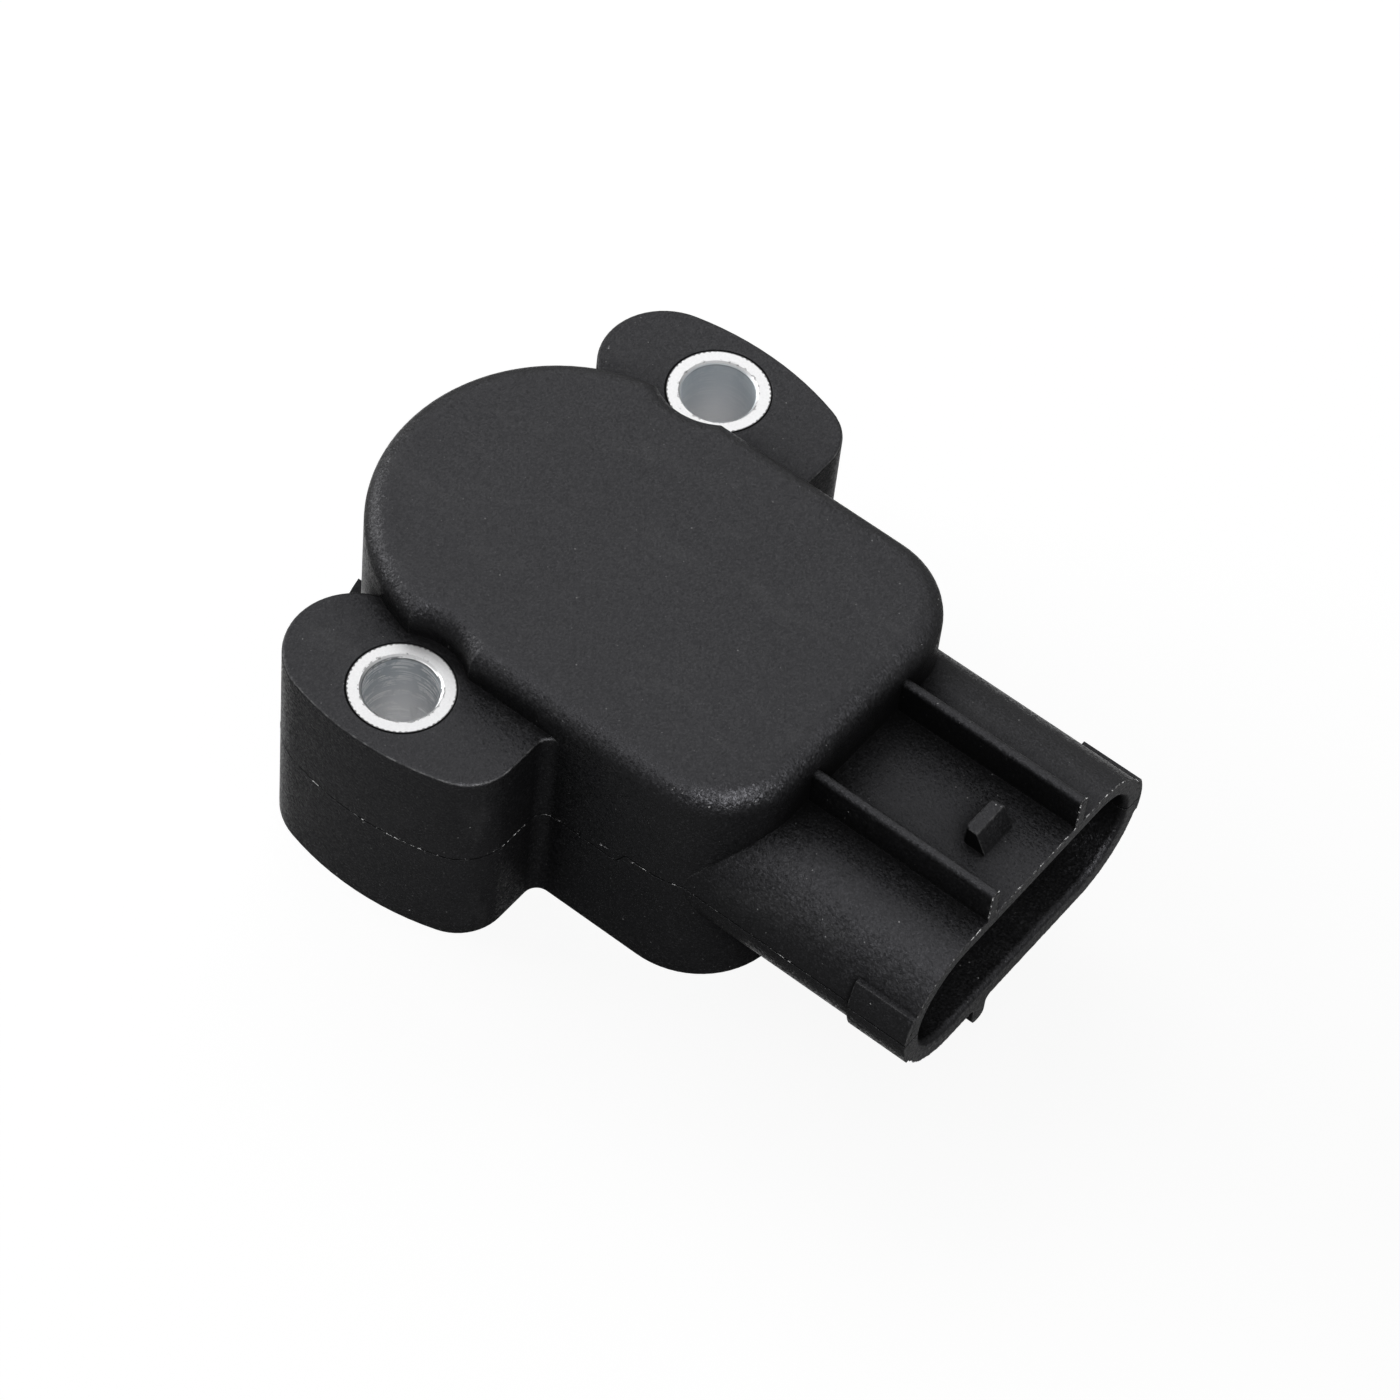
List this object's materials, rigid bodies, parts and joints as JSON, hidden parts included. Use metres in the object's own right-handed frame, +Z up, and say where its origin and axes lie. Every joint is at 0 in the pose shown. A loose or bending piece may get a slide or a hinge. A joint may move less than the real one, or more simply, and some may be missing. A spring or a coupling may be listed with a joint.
{
  "type": "throttle position sensor",
  "caption": "Throttle position sensor: rounded black case with bushed screw ears, an oval plug shroud with guide ribs, and a sprung rotor with a D-shaped drive socket.",
  "frame": {"origin": "on the rotor's axis, at the mounting face, midway between the screw holes", "axes": "+X out of the plug's mouth, +Y from the near screw hole to the far one, +Z up from the mounting face to the lid"},
  "size_m": [0.0568, 0.0454, 0.0207],
  "materials": {
    "case_plastic": "fine sandy moulded glass-filled nylon, dark grey to black",
    "bush_metal": "turned, bright, fine grooves in the bore",
    "terminal_metal": "tin-plated brass blade, satin",
    "contact_metal": "thin spring bronze, satin",
    "board_laminate": "brown laminate",
    "carbon_print": "printed carbon, matt",
    "silver_print": "printed silver, matt",
    "spring_steel": "drawn wire",
    "bearing_bronze": "sintered bronze, matt",
    "seal_rubber": "moulded",
    "gasket_rubber": "flat cut",
    "ring_rubber": "moulded",
    "cover_plastic": "moulded, satin",
    "rotor_plastic": "natural acetal, satin"
  },
  "bodies": {
    "body": {"housing": "case_plastic", "near_bush": "bush_metal", "far_bush": "bush_metal", "supply_terminal": "terminal_metal", "signal_terminal": "terminal_metal", "ground_terminal": "terminal_metal", "supply_contact": "contact_metal", "signal_contact": "contact_metal", "ground_contact": "contact_metal", "resistor_board": "board_laminate", "resistor_track": "carbon_print", "supply_trace": "silver_print", "signal_trace": "silver_print", "ground_trace": "silver_print", "return_spring": "spring_steel", "thrust_washer": "bearing_bronze", "bearing_sleeve": "bearing_bronze", "shaft_seal": "seal_rubber", "rear_cover": "cover_plastic", "cover_seal": "gasket_rubber", "mounting_seal": "ring_rubber"},
    "rotor": {"rotor": "rotor_plastic", "wiper": "contact_metal"}
  },
  "joints": [
    {"name": "rotor_turn", "type": "hinge", "parent": "body", "child": "rotor", "pos_m": [0, 0, 0], "axis": [0, 0, 1], "range_deg": [0, 100], "stiffness_Nm_per_rad": 0.004, "springref_deg": -28.65, "deforming": ["return_spring"]}
  ]
}
